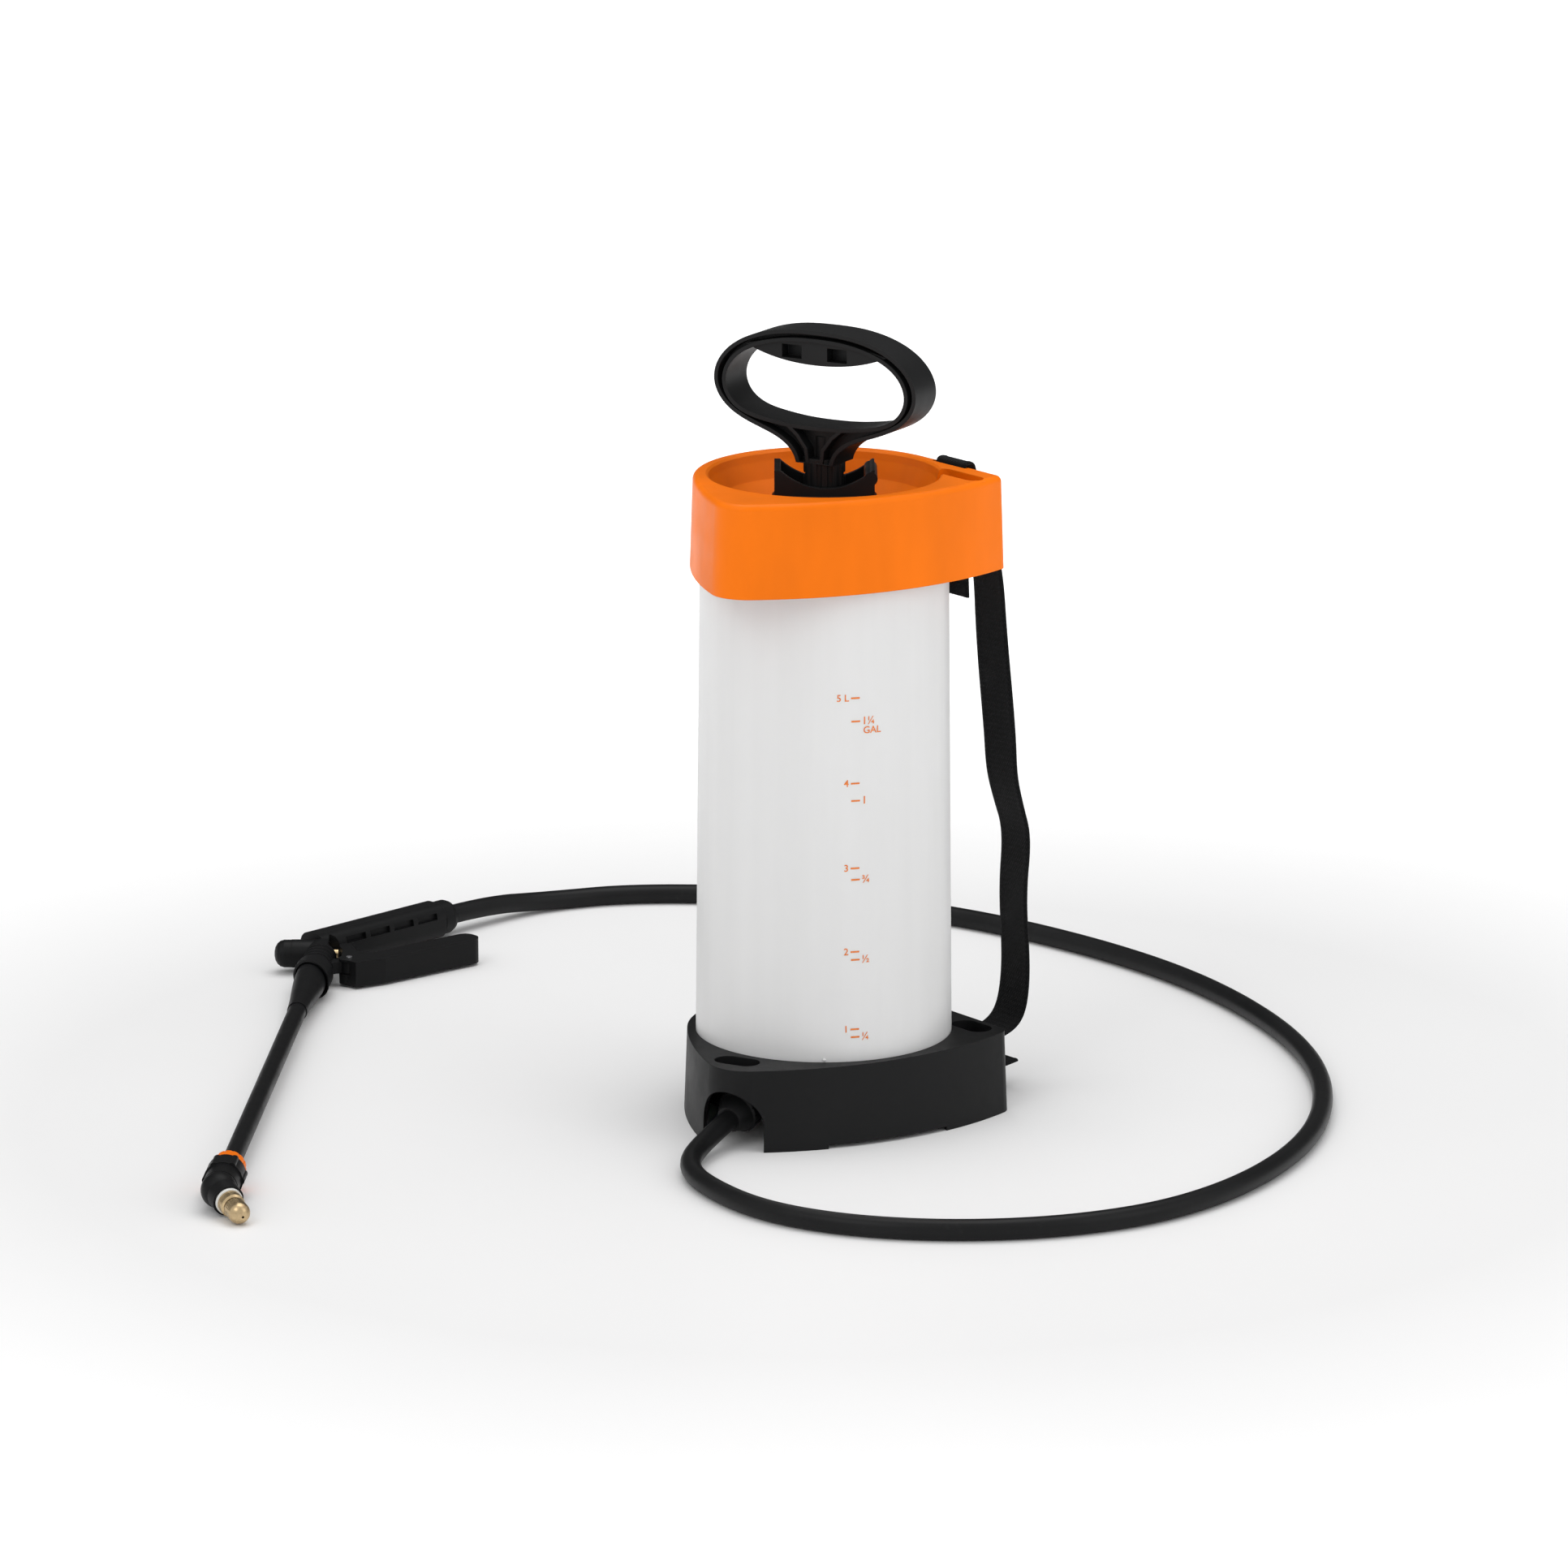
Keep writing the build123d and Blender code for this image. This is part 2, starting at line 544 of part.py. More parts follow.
# ---------------------------------------------------------------- spray gun
GRIP_SECTION = 24
HOUSING_RADIUS = 9.5
HOUSING_LEFT = 20.4
HOUSING_RIGHT = -7.6
with BuildPart() as gun_body:
    with BuildSketch(GRIP.offset(14)):
        RectangleRounded(GRIP_SECTION, GRIP_SECTION, 8)
    extrude(amount=112)
    with BuildSketch(VALVE_BORE.offset(HOUSING_RIGHT)):
        Circle(HOUSING_RADIUS)
    extrude(amount=HOUSING_LEFT - HOUSING_RIGHT)
    with BuildSketch(LANCE):
        Circle(10.5)
    extrude(amount=48)
    for rib in (14, 21, 28, 35):
        with BuildSketch(LANCE.offset(rib)):
            Circle(11)
        extrude(amount=2.4)
    turn(LANCE, [(0, 46), (11.5, 46), (13, 49), (13, HOOD_MOUTH), (11.6, HOOD_MOUTH), (11.6, 50), (0, 50)])
    with BuildSketch(Plane.XY.offset(GUN_Z - 4)):
        with BuildLine():
            Polyline((-334, 270), LEVER_PIVOT, (-334, 290), close=True)
        make_face()
        with Locations(LEVER_PIVOT):
            Circle(5.5)
    extrude(amount=8)
    mouth = Plane(origin=LANCE.origin, x_dir=LANCE.x_dir, z_dir=-LANCE.y_dir)
    with BuildSketch(mouth):
        with BuildLine():
            Polyline((-15, 54), (-15, HOOD_MOUTH + 2), (15, HOOD_MOUTH + 2), close=True)
        make_face()
    extrude(amount=15, both=True, mode=Mode.SUBTRACT)
    for slot in (22, 44, 66, 88):
        side = axis_plane(GRIP.origin + (slot + 9) * GRIP.z_dir, heading(GRIP_HEADING - 90))
        with BuildSketch(side.offset(GRIP_SECTION / 2 - 2.5)):
            with Locations((0, 5.5)):
                Rectangle(18, 4.5)
        extrude(amount=4, mode=Mode.SUBTRACT)
    with BuildSketch(Plane.XY):
        with Locations((-324.6, 310.7)):
            Rectangle(9.6, 18.6)
    extrude(amount=2 * GUN_Z, mode=Mode.SUBTRACT)
    turn(GRIP, disc_points(6.6, 13, 70), mode=Mode.SUBTRACT)
    turn(GRIP, disc_points(3.5, 69, 112), mode=Mode.SUBTRACT)
    turn(VALVE_BORE, disc_points(5.5, -3.6, HOUSING_LEFT + 1), mode=Mode.SUBTRACT)
    turn(VALVE_BORE, disc_points(3 + RUNNING, -30, 0), mode=Mode.SUBTRACT)
    turn(LANCE, disc_points(3, 0, 40), mode=Mode.SUBTRACT)
    turn(LANCE, disc_points(8.2, 36, 51), mode=Mode.SUBTRACT)
    with BuildSketch(Plane.XY.offset(0)):
        with Locations(LEVER_PIVOT):
            Circle(2 + RUNNING)
    extrude(amount=30, mode=Mode.SUBTRACT)

with BuildPart() as hose_coupling:
    turn(GRIP, [
        (0, 0), (8, 0), (10.4, 1.5), (11.6, 4.5), (11.6, 12), (10.8, 14), (6.5, 14), (6.5, 20), (3.5, 20),
        (3.5, 3), (0, 3),
    ])

with BuildPart() as grip_filter:
    turn(GRIP, [
        (5, 20.2), (6.4, 20.2), (6.4, 23), (5.4, 23), (5.4, 58), (0, 58), (0, 56), (4.4, 56), (4.4, 23),
        (5, 23),
    ])

with BuildPart() as valve_cap:
    turn(VALVE_BORE, [
        (5.5, HOUSING_LEFT), (9.3, HOUSING_LEFT), (9.3, 25.5), (8.6, 28), (7, 30), (4.6, 31.4), (2, 32),
        (0, 32), (0, 28.5), (5.5, 28.5),
    ])

with BuildPart() as valve_seat:
    turn(VALVE_BORE, ring_points(3.6, 5.45, -1, 1.2))

with BuildPart() as spindle_ring:
    turn(VALVE_BORE, ring_points(3 + RUNNING, 5.45, -3.5, -1.8))

with BuildPart() as valve_spindle:
    turn(VALVE_BORE, [
        (0, -11.3), (2.4, -11.3), (3, -10.7), (3, 3.5), (5, 3.5), (5, 6.5), (3, 6.5), (3, 13), (0, 13),
    ])

with BuildPart() as valve_seal:
    turn(VALVE_BORE, ring_points(3 + RUNNING, 5.2, 1.7, 3.4))

with BuildPart() as valve_spring:
    with BuildLine():
        coil = Helix(pitch=2, height=9, radius=4.2, center=VALVE_BORE.origin + Vector(-12.8, 0, 0),
                     direction=(-1, 0, 0))
    with BuildSketch(Plane(origin=coil @ 0, z_dir=coil % 0)):
        Circle(0.5)
    sweep(is_frenet=True)

# Lever: a smooth bar with a forked root on a pin, and a nose that pushes the spindle
LEVER_SLOT_LOW = GUN_Z - 4.3
LEVER_SLOT_HIGH = GUN_Z + 4.3
LEVER_ROOT = (-301, 291.5)
LEVER_TIP_NEAR = (-238.5, 343.5)
LEVER_TIP_FAR = (-227, 330.5)
with BuildPart() as lever:
    with BuildSketch(Plane.XY.offset(LEVER_LOW)):
        with BuildLine():
            Polyline((-319.5, 277), (-319.5, 301), (-322, 309.5), (-322, 314), (-318, 316.5), (-314, 313),
                     (-310, 298), LEVER_ROOT, LEVER_TIP_NEAR, LEVER_TIP_FAR, (-290, 279), (-309, 268),
                     close=True)
        make_face()
        with Locations(LEVER_PIVOT):
            Circle(6.8)
        root = vertices().sort_by_distance(Vector(*LEVER_ROOT))
        fillet(root[0], 8)
        for tip in (LEVER_TIP_NEAR, LEVER_TIP_FAR):
            ends = vertices().sort_by_distance(Vector(*tip))
            fillet(ends[0], 7)
    extrude(amount=LEVER_HIGH - LEVER_LOW)
    with BuildSketch(Plane.XY.offset(LEVER_SLOT_LOW)):
        with Locations(LEVER_PIVOT):
            Circle(8.5)
        with Locations((-325, 281)):
            Rectangle(22, 17)
    extrude(amount=LEVER_SLOT_HIGH - LEVER_SLOT_LOW, mode=Mode.SUBTRACT)
    with BuildSketch(Plane.XY):
        with Locations(LEVER_PIVOT):
            Circle(2)
    extrude(amount=30, mode=Mode.SUBTRACT)

with BuildPart() as lever_pin:
    with BuildSketch(Plane.XY.offset(LEVER_LOW - 1)):
        with Locations(LEVER_PIVOT):
            Circle(1.97)
    extrude(amount=LEVER_HIGH - LEVER_LOW + 2)

# ---------------------------------------------------------------- lance and nozzle
with BuildPart() as lance_tube:
    turn(LANCE, ring_points(4, LANCE_RADIUS, 40, LANCE_END))

with BuildPart() as lance_ring:
    turn(LANCE, ring_points(LANCE_RADIUS + RUNNING, 8.15, 41, 44))

with BuildPart() as lance_nut:
    turn(LANCE, [
        (LANCE_RADIUS + RUNNING, 45), (8.1, 45), (8.1, 50.4), (10.6, 50.4), (10.6, 74), (9.6, 92), (7.6, 120),
        (6.6, 142), (LANCE_RADIUS + RUNNING, 142),
    ])

with BuildPart() as nozzle_ring:
    turn(LANCE, [
        (LANCE_RADIUS + RUNNING, 486), (9, 486), (10.6, 487.5), (10.6, 497), (LANCE_RADIUS + RUNNING, 497),
    ])
    with BuildSketch(LANCE.offset(485)):
        with PolarLocations(11.4, 14):
            Circle(1.2)
    extrude(amount=13, mode=Mode.SUBTRACT)

with BuildPart() as nozzle_elbow:
    turn(LANCE, disc_points(11, ELBOW_START, ELBOW_BEND - 4))
    with BuildSketch(LANCE.offset(ELBOW_START + 3)):
        Circle(12)
        with PolarLocations(10.4, 6):
            Circle(2.6)
    extrude(amount=16)
    with Locations(BEND.origin):
        Sphere(11.2)
    with BuildSketch(BEND):
        Circle(9.8)
    extrude(amount=15)
    turn(LANCE, disc_points(LANCE_RADIUS + RUNNING, ELBOW_START - 1, LANCE_END + 1), mode=Mode.SUBTRACT)
    turn(LANCE, disc_points(3, LANCE_END, ELBOW_BEND), mode=Mode.SUBTRACT)
    turn(BEND, disc_points(3, 0, 16), mode=Mode.SUBTRACT)

with BuildPart() as nozzle_gasket:
    turn(BEND, ring_points(3, 8.4, 15, 17))

with BuildPart() as nozzle_body:
    turn(BEND, [
        (2, 17), (7.6, 17), (7.6, 22.5), (6.4, 23.5), (4.5, 23.5), (4.5, 31), (2, 31),
    ])

with BuildPart() as swirl_insert:
    turn(BEND, [(0, 31.1), (4, 31.1), (4, 32.6), (1.2, 33.6), (0, 33.6)])

with BuildPart() as nozzle_tip:
    with BuildSketch(Plane(origin=BEND.origin, x_dir=BEND.x_dir, z_dir=-BEND.y_dir)):
        with BuildLine():
            Polyline((4.5 + RUNNING, 24), (6.2, 24), (6.8, 25), (6.8, 32))
            ThreePointArc((6.8, 32), (5.2, 36.2), (1, 38.4))
            Polyline((1, 38.4), (0.8, 38.4), (0.8, 34.2), (4.5 + RUNNING, 34.2), (4.5 + RUNNING, 24))
        make_face()
    revolve(axis=Axis(BEND.origin, BEND.z_dir))
    with BuildSketch(BEND.offset(24)):
        with PolarLocations(7.3, 16):
            Circle(0.7)
    extrude(amount=6, mode=Mode.SUBTRACT)

# ---------------------------------------------------------------- hose
hose_exit = OUTLET.origin + HOSE_NUT_END * OUTLET.z_dir
hose_drop = OUTLET.origin + (HOSE_NUT_END + 32) * OUTLET.z_dir
gun_lead = GRIP.origin - 38 * GRIP.z_dir
HOSE_ROUTE = [
    (hose_exit.X, hose_exit.Y, hose_exit.Z),
    (hose_drop.X, hose_drop.Y, hose_drop.Z),
    (-84.5, -150, HOSE_REST_Z),
    (-74, -190, HOSE_REST_Z),
    (-40, -242, HOSE_REST_Z),
    (12, -273, HOSE_REST_Z),
    (78, -284, HOSE_REST_Z),
    (147, -274, HOSE_REST_Z),
    (212, -240, HOSE_REST_Z),
    (268, -172, HOSE_REST_Z),
    (307, -78, HOSE_REST_Z),
    (319, 30, HOSE_REST_Z),
    (304, 138, HOSE_REST_Z),
    (257, 256, HOSE_REST_Z),
    (186, 352, HOSE_REST_Z),
    (90, 437, HOSE_REST_Z),
    (-22, 484, HOSE_REST_Z),
    (-126, 493, HOSE_REST_Z),
    (-190, 470, HOSE_REST_Z),
    (gun_lead.X, gun_lead.Y, gun_lead.Z),
    GRIP_END,
]


def bend_radii(route):
    """Radius of each corner of a route: 0.45 of the shorter run over the tangent of half the turn."""
    radii = []
    for before, here, after in zip(route, route[1:], route[2:]):
        arriving = Vector(*here) - Vector(*before)
        leaving = Vector(*after) - Vector(*here)
        shorter = min(arriving.length, leaving.length)
        radii.append(0.45 * shorter / tan(radians(arriving.get_angle(leaving) / 2)))
    return radii


HOSE_RADII = bend_radii(HOSE_ROUTE)
with BuildPart() as hose:
    with BuildLine() as hose_path:
        FilletPolyline(*HOSE_ROUTE, radius=HOSE_RADII)
    with BuildSketch(Plane(origin=hose_path.line @ 0, z_dir=hose_path.line % 0)):
        Circle(HOSE_RADIUS)
    sweep()

hose_length = hose_path.wire().length
print("hose radii", [round(radius) for radius in HOSE_RADII])
print("hose length", round(hose_length), "volume ratio",
      round(hose.part.volume / (3.14159265 * HOSE_RADIUS ** 2 * hose_length), 4))

# ---------------------------------------------------------------- strap
STRAP_ROUTE = [
    (80.6, 325), (79.4, 350), (77, 372), (77, 406), (77.6, 410.6), (84.2, 410.6), (86, 404), (96, 374),
    (109, 340), (113, 290), (117, 230), (118, 205), (124, 185), (133, 162), (131, 125), (134, 85),
    (133, 62), (129, 46), (121, 38), (106, 34), (94, 32.2), (92.4, 29), (92.4, 24), (97, 19.8), (110, 15),
    (124, 17),
]
STRAP_PLANE = Plane(
    origin=(STRAP_CENTRE - STRAP_WIDTH / 2) * BACK_ALONG,
    x_dir=BACK_OUT,
    z_dir=BACK_ALONG,
)
with BuildPart() as strap:
    with BuildSketch(STRAP_PLANE):
        with BuildLine() as strap_line:
            Polyline(*STRAP_ROUTE)
        trace(line_width=STRAP_THICK)
    extrude(amount=STRAP_WIDTH)
print("strap length", round(strap_line.wire().length))

# ---------------------------------------------------------------- write the pieces
PIECES = {
    "tank": tank,
    "base": base,
    "funnel_collar": funnel_collar,
    "funnel_seal": funnel_seal,
    "outlet_spigot": outlet_spigot,
    "outlet_gasket": outlet_gasket,
    "outlet_strainer": outlet_strainer,
    "hose_nut": hose_nut,
    "hose": hose,
    "strap": strap,
    "pump_head": pump_head,
    "pump_gasket": pump_gasket,
    "pump_barrel": pump_barrel,
    "rod_bush": rod_bush,
    "rod_wiper": rod_wiper,
    "foot_plug": foot_plug,
    "check_valve": check_valve,
    "piston": piston,
    "piston_seal": piston_seal,
    "piston_rod": piston_rod,
    "piston_nut": piston_nut,
    "handle": handle,
    "handle_pin": handle_pin,
    "relief_body": relief_body,
    "relief_cap": relief_cap,
    "relief_seal": relief_seal,
    "relief_knob": relief_knob,
    "relief_spring": relief_spring,
    "gun_body": gun_body,
    "hose_coupling": hose_coupling,
    "grip_filter": grip_filter,
    "valve_cap": valve_cap,
    "valve_seat": valve_seat,
    "spindle_ring": spindle_ring,
    "valve_spindle": valve_spindle,
    "valve_seal": valve_seal,
    "valve_spring": valve_spring,
    "lever": lever,
    "lever_pin": lever_pin,
    "lance_tube": lance_tube,
    "lance_ring": lance_ring,
    "lance_nut": lance_nut,
    "nozzle_ring": nozzle_ring,
    "nozzle_elbow": nozzle_elbow,
    "nozzle_gasket": nozzle_gasket,
    "nozzle_body": nozzle_body,
    "swirl_insert": swirl_insert,
    "nozzle_tip": nozzle_tip,
}
for name, piece in PIECES.items():
    piece.part.label = name
    export_step(piece.part, f"parts/{name}.step")
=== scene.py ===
"""Looks of the pump sprayer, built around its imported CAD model. Units are metres."""
import math

import bmesh
import bpy
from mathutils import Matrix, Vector


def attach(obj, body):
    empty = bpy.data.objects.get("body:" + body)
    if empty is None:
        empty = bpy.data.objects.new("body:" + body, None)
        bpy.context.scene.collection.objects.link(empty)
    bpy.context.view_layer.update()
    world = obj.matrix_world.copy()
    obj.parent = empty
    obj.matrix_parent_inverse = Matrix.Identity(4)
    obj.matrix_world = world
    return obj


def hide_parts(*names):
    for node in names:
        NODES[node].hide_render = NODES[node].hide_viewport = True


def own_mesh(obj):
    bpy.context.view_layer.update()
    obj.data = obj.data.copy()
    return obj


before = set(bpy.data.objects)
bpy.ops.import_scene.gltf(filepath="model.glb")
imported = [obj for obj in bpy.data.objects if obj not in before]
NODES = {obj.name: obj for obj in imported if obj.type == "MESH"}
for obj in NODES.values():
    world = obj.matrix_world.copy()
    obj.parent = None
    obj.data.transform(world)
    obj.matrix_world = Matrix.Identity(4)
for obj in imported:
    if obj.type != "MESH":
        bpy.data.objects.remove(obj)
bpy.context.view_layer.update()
scene = bpy.context.scene
scene.view_settings.view_transform = "Standard"

# ---------------------------------------------------------------- camera
CAMERA_AIM = Vector((-0.025, 0.0, 0.2095))
CAMERA_DISTANCE = 5.0
CAMERA_ELEVATION = math.radians(14.3)
camera_data = bpy.data.cameras.new("camera")
camera_data.sensor_width = 36
camera_data.lens = 183.7
camera_data.clip_end = 60
camera = bpy.data.objects.new("camera", camera_data)
look = Vector((0, math.cos(CAMERA_ELEVATION), -math.sin(CAMERA_ELEVATION)))
camera.location = CAMERA_AIM - CAMERA_DISTANCE * look
camera.rotation_euler = look.to_track_quat("-Z", "Y").to_euler()
scene.collection.objects.link(camera)
scene.camera = camera


# ---------------------------------------------------------------- material helpers
class Graph:
    """Short names for building one node material."""

    def __init__(self, name):
        self.material = bpy.data.materials.new(name)
        self.material.use_nodes = True
        self.tree = self.material.node_tree
        self.shader = self.tree.nodes["Principled BSDF"]
        self.where = self.node("ShaderNodeTexCoord").outputs["Object"]

    def node(self, kind, **settings):
        """A new node with its settings."""
        made = self.tree.nodes.new(kind)
        for key, value in settings.items():
            setattr(made, key, value)
        return made

    def link(self, source, target):
        """Join an output to an input."""
        self.tree.links.new(source, target)

    def noise(self, scale, detail=3.0, rough=0.5, stretch=None):
        """Noise in object space, stretched along an axis if asked."""
        made = self.node("ShaderNodeTexNoise")
        made.inputs["Scale"].default_value = scale
        made.inputs["Detail"].default_value = detail
        made.inputs["Roughness"].default_value = rough
        source = self.where
        if stretch:
            mapping = self.node("ShaderNodeMapping")
            mapping.inputs["Scale"].default_value = stretch
            self.link(source, mapping.inputs["Vector"])
            source = mapping.outputs["Vector"]
        self.link(source, made.inputs["Vector"])
        return made.outputs["Fac"]

    def spread(self, value, low, high, from_low=0.0, from_high=1.0):
        """A value carried from one range to another, held at its ends."""
        made = self.node("ShaderNodeMapRange")
        made.inputs["From Min"].default_value = from_low
        made.inputs["From Max"].default_value = from_high
        made.inputs["To Min"].default_value = low
        made.inputs["To Max"].default_value = high
        self.link(value, made.inputs["Value"])
        return made.outputs["Result"]

    def math(self, how, a, b=None):
        """One step of arithmetic on outputs or plain numbers."""
        made = self.node("ShaderNodeMath", operation=how)
        for slot, value in zip(made.inputs, (a, b)):
            if value is None:
                continue
            if isinstance(value, (int, float)):
                slot.default_value = value
            else:
                self.link(value, slot)
        return made.outputs[0]

    def mix(self, factor, a, b):
        """Blend of two colours."""
        made = self.node("ShaderNodeMix", data_type="RGBA")
        for slot, value in ((made.inputs[0], factor), (made.inputs[6], a), (made.inputs[7], b)):
            if isinstance(value, (int, float)):
                slot.default_value = value
            elif isinstance(value, tuple):
                slot.default_value = (*value, 1)
            else:
                self.link(value, slot)
        return made.outputs[2]

    def edges(self, radius):
        """A mask that is 0 on flat areas and up to 1 on outer edges, and the softened normal."""
        rounded = self.node("ShaderNodeBevel", samples=4)
        rounded.inputs["Radius"].default_value = radius
        normal = self.node("ShaderNodeNewGeometry").outputs["Normal"]
        dot = self.node("ShaderNodeVectorMath", operation="DOT_PRODUCT")
        self.link(rounded.outputs["Normal"], dot.inputs[0])
        self.link(normal, dot.inputs[1])
        return self.spread(dot.outputs["Value"], 0, 1, 0.995, 0.8), rounded.outputs["Normal"]

    def bump(self, height, strength, distance, normal=None):
        """Surface normal from a height."""
        made = self.node("ShaderNodeBump")
        made.inputs["Strength"].default_value = strength
        made.inputs["Distance"].default_value = distance
        self.link(height, made.inputs["Height"])
        if normal:
            self.link(normal, made.inputs["Normal"])
        return made.outputs["Normal"]

    def finish(self, colour, rough, normal, **fixed):
        """Join the three main inputs and set the others to fixed values."""
        self.link(colour, self.shader.inputs["Base Color"])
        self.link(rough, self.shader.inputs["Roughness"])
        self.link(normal, self.shader.inputs["Normal"])
        for key, value in fixed.items():
            self.shader.inputs[key.replace("_", " ")].default_value = value
        return self.material


def moulded(name, base, worn, rough, grain, grain_depth, edge=0.0006, **fixed):
    """Moulded plastic: faint flow marks, a fine grain, dust in the roughness and paler rubbed edges."""
    g = Graph(name)
    flow = g.noise(9, 4, 0.6, stretch=(1, 1, 0.35))
    specks = g.noise(260, 2, 0.5)
    rubbed, rounded = g.edges(edge)
    worn_mask = g.math("MULTIPLY", rubbed, g.spread(g.noise(60, 3, 0.7), 0, 1, 0.42, 0.62))
    dark = tuple(value * 0.86 for value in base)
    light = tuple(min(1.0, value * 1.12) for value in base)
    tone = g.mix(g.spread(flow, 0, 1, 0.3, 0.7), dark, light)
    colour = g.mix(g.math("MULTIPLY", worn_mask, 0.55), tone, worn)
    smudge = g.spread(g.noise(23, 5, 0.65), rough - 0.07, rough + 0.09, 0.3, 0.7)
    roughness = g.math("ADD", smudge, g.math("MULTIPLY", worn_mask, 0.08))
    fine = g.noise(grain, 3, 0.6)
    height = g.math("ADD", fine, g.math("MULTIPLY", specks, 0.3))
    return g.finish(colour, roughness, g.bump(height, 0.5, grain_depth, rounded), **fixed)


BLACK = moulded("black_plastic", (0.0075, 0.0077, 0.0081), (0.03, 0.03, 0.031), 0.44, 1500, 0.00006,
                Specular_IOR_Level=0.17)
GUN_BLACK = moulded("gun_black", (0.0062, 0.0064, 0.0068), (0.026, 0.026, 0.027), 0.42, 1700, 0.00005,
                    Specular_IOR_Level=0.13)
ORANGE = moulded("orange_plastic", (0.90, 0.178, 0.0012), (0.95, 0.26, 0.02), 0.42, 1300, 0.00004,
                 Specular_IOR_Level=0.12)
WHITE = moulded("white_plastic", (0.8, 0.8, 0.77), (0.9, 0.9, 0.88), 0.4, 1200, 0.00003)
SEAL = moulded("seal_rubber", (0.012, 0.012, 0.012), (0.04, 0.04, 0.04), 0.68, 900, 0.00005,
               Specular_IOR_Level=0.2)


def milky():
    """Blow-moulded translucent tank: cloudy wall with faint vertical flow lines and a soft sheen."""
    g = Graph("milky_plastic")
    cloud = g.noise(7, 5, 0.6, stretch=(1, 1, 0.25))
    streak = g.noise(60, 3, 0.5, stretch=(1, 1, 0.03))
    rounded = g.edges(0.0008)[1]
    both = g.math("ADD", g.math("MULTIPLY", cloud, 0.7), g.math("MULTIPLY", streak, 0.3))
    colour = g.mix(g.spread(both, 0, 1, 0.35, 0.65), (0.70, 0.70, 0.697), (0.76, 0.76, 0.757))
    rough = g.spread(g.noise(31, 4, 0.6), 0.36, 0.5, 0.3, 0.7)
    ripple = g.math("ADD", g.noise(18, 2, 0.5), g.math("MULTIPLY", g.noise(900, 3, 0.5), 0.12))
    return g.finish(colour, rough, g.bump(ripple, 0.25, 0.0004, rounded), Subsurface_Weight=0.25,
                    Subsurface_Radius=(0.012, 0.012, 0.011), Subsurface_Scale=0.5)


def metal(name, base, tint, rough, lines):
    """Turned metal: fine tool lines, tarnish in patches, brighter edges."""
    g = Graph(name)
    rubbed, rounded = g.edges(0.0003)
    tarnish = g.spread(g.noise(90, 5, 0.7), 0, 1, 0.4, 0.7)
    colour = g.mix(g.math("MULTIPLY", tarnish, 0.6), base, tint)
    bright = g.mix(g.math("MULTIPLY", rubbed, 0.5), colour, tuple(min(1, value * 1.25) for value in base))
    roughness = g.spread(tarnish, rough, rough + 0.16)
    turned = g.noise(lines, 2, 0.5)
    return g.finish(bright, roughness, g.bump(turned, 0.35, 0.00004, rounded), Metallic=1.0)


TANK = milky()
BRASS = metal("brass", (0.62, 0.47, 0.27), (0.3, 0.21, 0.12), 0.24, 1600)
STEEL = metal("steel", (0.6, 0.6, 0.62), (0.4, 0.4, 0.42), 0.24, 1800)


def hose_material():
    """Black vinyl hose: satin, with slight scuffs and a fine extruded grain."""
    g = Graph("hose_vinyl")
    patches = g.noise(14, 4, 0.6)
    scuffs = g.spread(g.noise(120, 5, 0.75), 0, 1, 0.58, 0.72)
    tone = g.mix(g.spread(patches, 0, 1, 0.3, 0.7), (0.0055, 0.0057, 0.006), (0.0095, 0.0097, 0.0102))
    colour = g.mix(g.math("MULTIPLY", scuffs, 0.3), tone, (0.022, 0.022, 0.023))
    rough = g.math("ADD", g.spread(patches, 0.33, 0.44), g.math("MULTIPLY", scuffs, 0.14))
    return g.finish(colour, rough, g.bump(g.noise(1400, 2, 0.5), 0.3, 0.00005), Specular_IOR_Level=0.16)


WEFT_SPACING = 0.0017
WARP_SPACING = 0.0022


def webbing_material():
    """Black webbing: herringbone ribs across and along, from the strap's own length and width."""
    g = Graph("webbing")
    uv = g.node("ShaderNodeUVMap", uv_map="weave").outputs["UV"]
    split = g.node("ShaderNodeSeparateXYZ")
    g.link(uv, split.inputs[0])
    along, across = split.outputs[0], split.outputs[1]
    ribs = g.math("SINE", g.math("MULTIPLY", along, 2 * math.pi / WEFT_SPACING))
    warp = g.math("SINE", g.math("MULTIPLY", across, 2 * math.pi / WARP_SPACING))
    slant = g.math("ADD", g.math("MULTIPLY", along, math.pi / WEFT_SPACING), g.math("MULTIPLY", warp, 1.4))
    twill = g.math("SINE", slant)
    crossing = g.math("MULTIPLY", g.math("MULTIPLY", ribs, warp), 0.5)
    height = g.math("ADD", crossing, g.math("MULTIPLY", twill, 0.5))
    fuzz = g.noise(1100, 4, 0.7)
    relief = g.math("ADD", height, g.math("MULTIPLY", fuzz, 0.6))
    # Painted shade: the weave's low parts are coloured darker and its raised threads lighter, following the
    # rib height
    painted_weave_shade = g.mix(g.spread(height, 0, 1, -0.9, 0.9), (0.0025, 0.0026, 0.0028), (0.009, 0.0092, 0.0098))
    fading = g.math("MULTIPLY", g.spread(g.noise(30, 4, 0.6), 0, 1, 0.5, 0.75), 0.4)
    faded = g.mix(fading, painted_weave_shade, (0.016, 0.016, 0.017))
    rough = g.spread(fuzz, 0.7, 0.9, 0.3, 0.7)
    return g.finish(faded, rough, g.bump(relief, 0.7, 0.0003), Sheen_Weight=0.04, Sheen_Roughness=0.5,
                    Specular_IOR_Level=0.12)


def printed_material():
    """Orange printing ink, slightly uneven."""
    g = Graph("print_ink")
    blot = g.noise(420, 4, 0.6)
    colour = g.mix(g.spread(blot, 0, 1, 0.35, 0.7), (0.72, 0.17, 0.02), (0.82, 0.23, 0.035))
    return g.finish(colour, g.spread(blot, 0.38, 0.52), g.bump(blot, 0.1, 0.00002))


